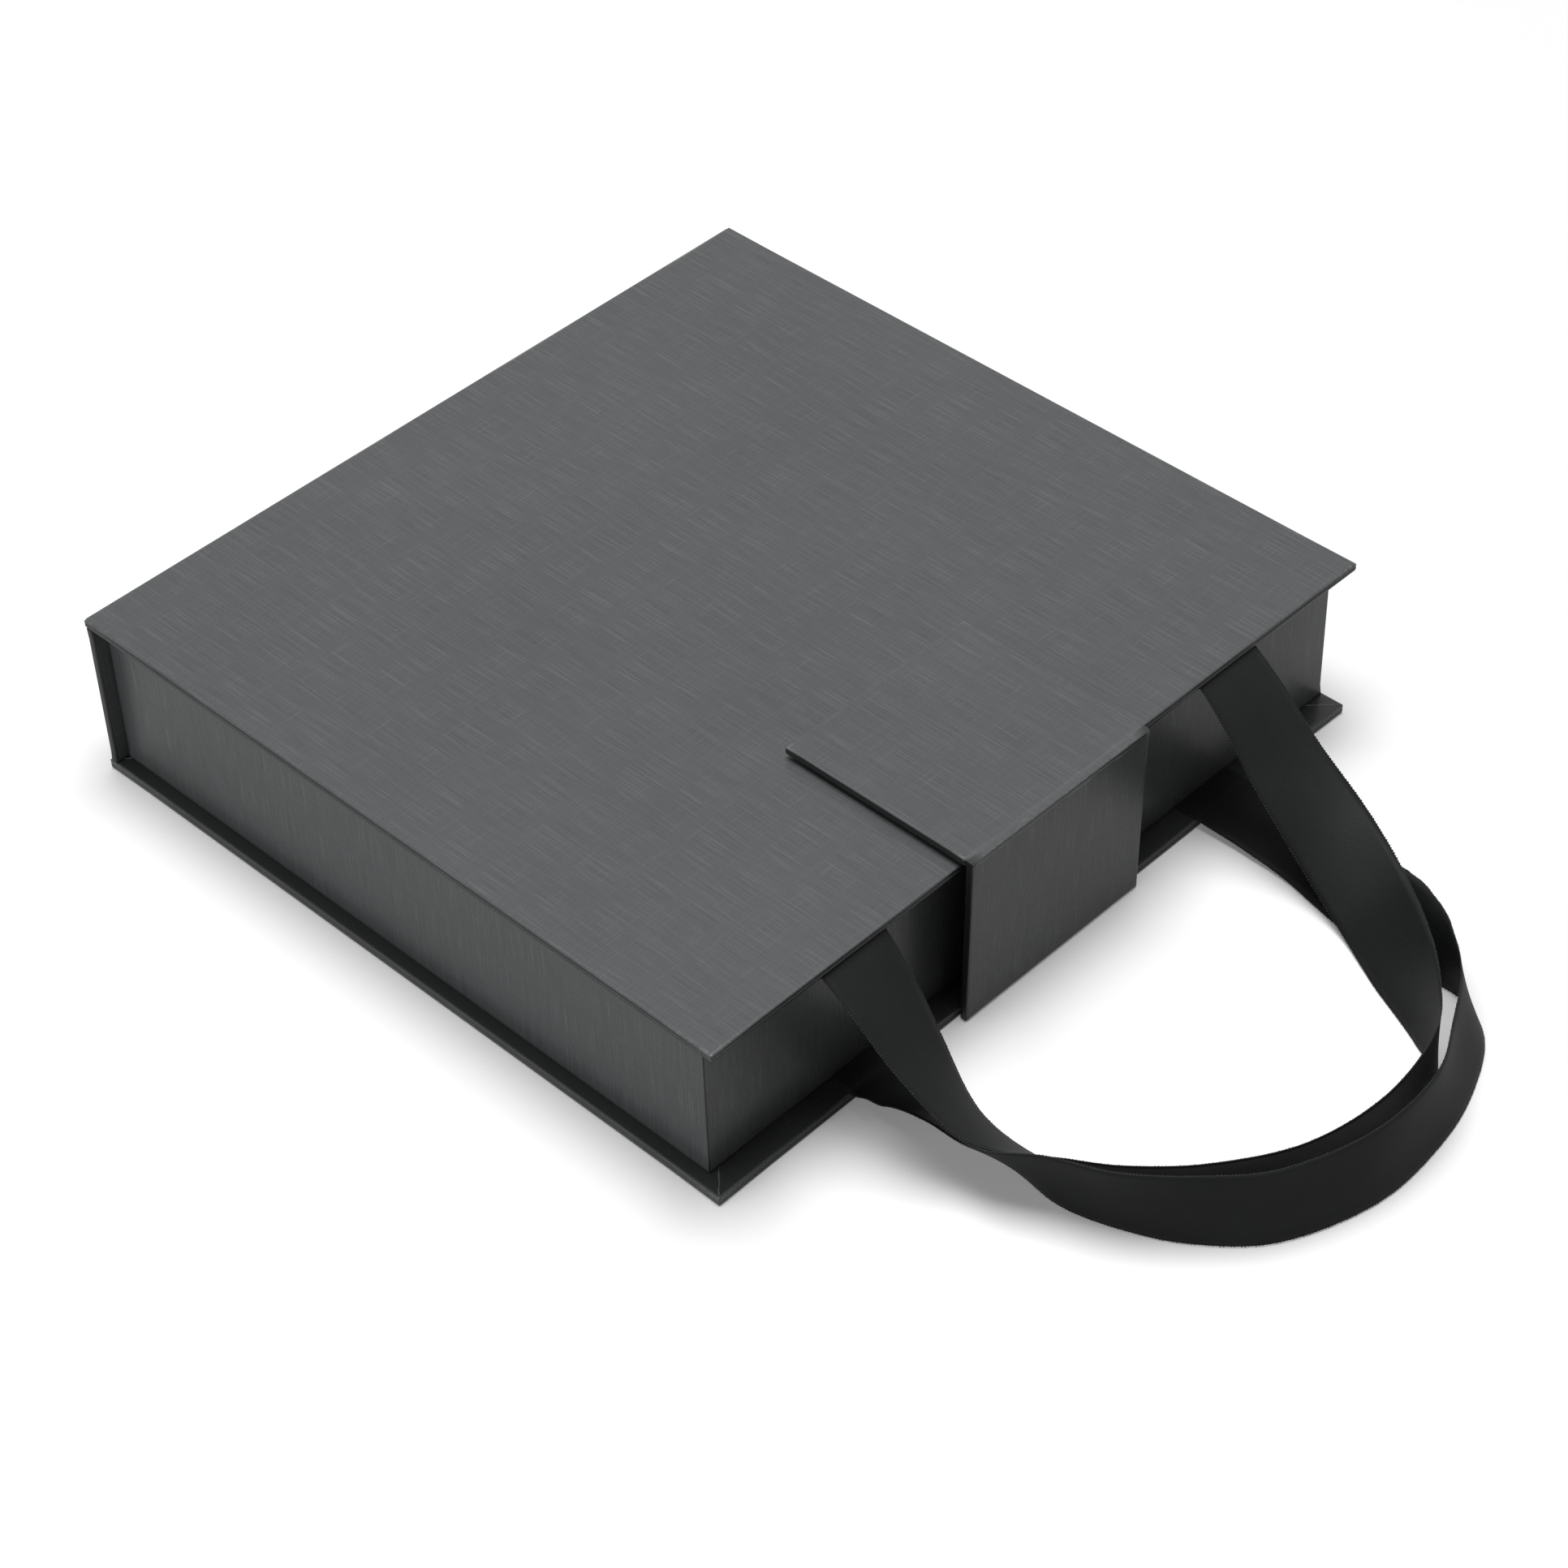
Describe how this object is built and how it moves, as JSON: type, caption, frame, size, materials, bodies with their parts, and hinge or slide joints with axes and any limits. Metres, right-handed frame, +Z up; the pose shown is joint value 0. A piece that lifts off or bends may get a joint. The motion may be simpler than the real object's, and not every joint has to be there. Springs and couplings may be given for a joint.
{
  "type": "gift box",
  "caption": "Book-style rigid gift box: hinged lid over a glued-in tray, folding magnetic tab at the front and a pair of ribbon loops as carrying handles.",
  "frame": {"origin": "middle of the case's underside, on the surface it rests on", "axes": "+Z up, front with the closing tab and handles towards -Y, spine towards +Y, +X to the right seen from the front"},
  "size_m": [0.27, 0.3902, 0.063],
  "materials": {
    "cover": "dark grey linen-textured covering paper, dull sheen",
    "lining": "plain black lining paper, matt",
    "greyboard": "raw grey bookbinding board",
    "ribbon": "black woven ribbon, soft satin sheen",
    "magnet": "nickel-plated bar magnet",
    "steel": "plain steel strip"
  },
  "bodies": {
    "base": {"bottom_board": "greyboard", "bottom_wrap": "cover", "spine_board": "greyboard", "spine_wrap": "cover", "tray_base": "greyboard", "tray_front_wall": "greyboard", "tray_back_wall": "greyboard", "tray_left_wall": "greyboard", "tray_right_wall": "greyboard", "tray_wrap": "cover", "tray_wall_lining": "lining", "tray_floor_lining": "lining", "keeper_strips": "steel", "lower_handle_tails": "ribbon"},
    "lid": {"lid_board": "greyboard", "lid_wrap": "cover", "lid_liner": "lining", "tongue_pad": "cover", "tongue_board": "greyboard", "tongue_wrap": "cover", "upper_handle_tails": "ribbon"},
    "flap": {"flap_board": "greyboard", "flap_wrap": "cover", "flap_magnets": "magnet"},
    "upper_handle": {"upper_handle": "ribbon"},
    "lower_handle": {"lower_handle": "ribbon"}
  },
  "joints": [
    {"name": "lid_hinge", "type": "hinge", "parent": "base", "child": "lid", "pos_m": [0, 0.13, 0.0562], "axis": [-1, 0, 0], "range_deg": [0, 180]},
    {"name": "flap_hinge", "type": "hinge", "parent": "lid", "child": "flap", "pos_m": [0, -0.13255, 0.063], "axis": [-1, 0, 0], "range_deg": [0, 120]},
    {"name": "upper_handle_swing", "type": "hinge", "parent": "lid", "child": "upper_handle", "pos_m": [0, -0.1294, 0.0556], "axis": [-1, 0, 0], "range_deg": [0, 44]},
    {"name": "lower_handle_swing", "type": "hinge", "parent": "base", "child": "lower_handle", "pos_m": [0, -0.1304, 0.00315], "axis": [-1, 0, 0], "range_deg": [0, 11]}
  ],
  "couplings": [
    {"joint": "lower_handle_swing", "follows": "upper_handle_swing", "ratio": 0.25}
  ]
}
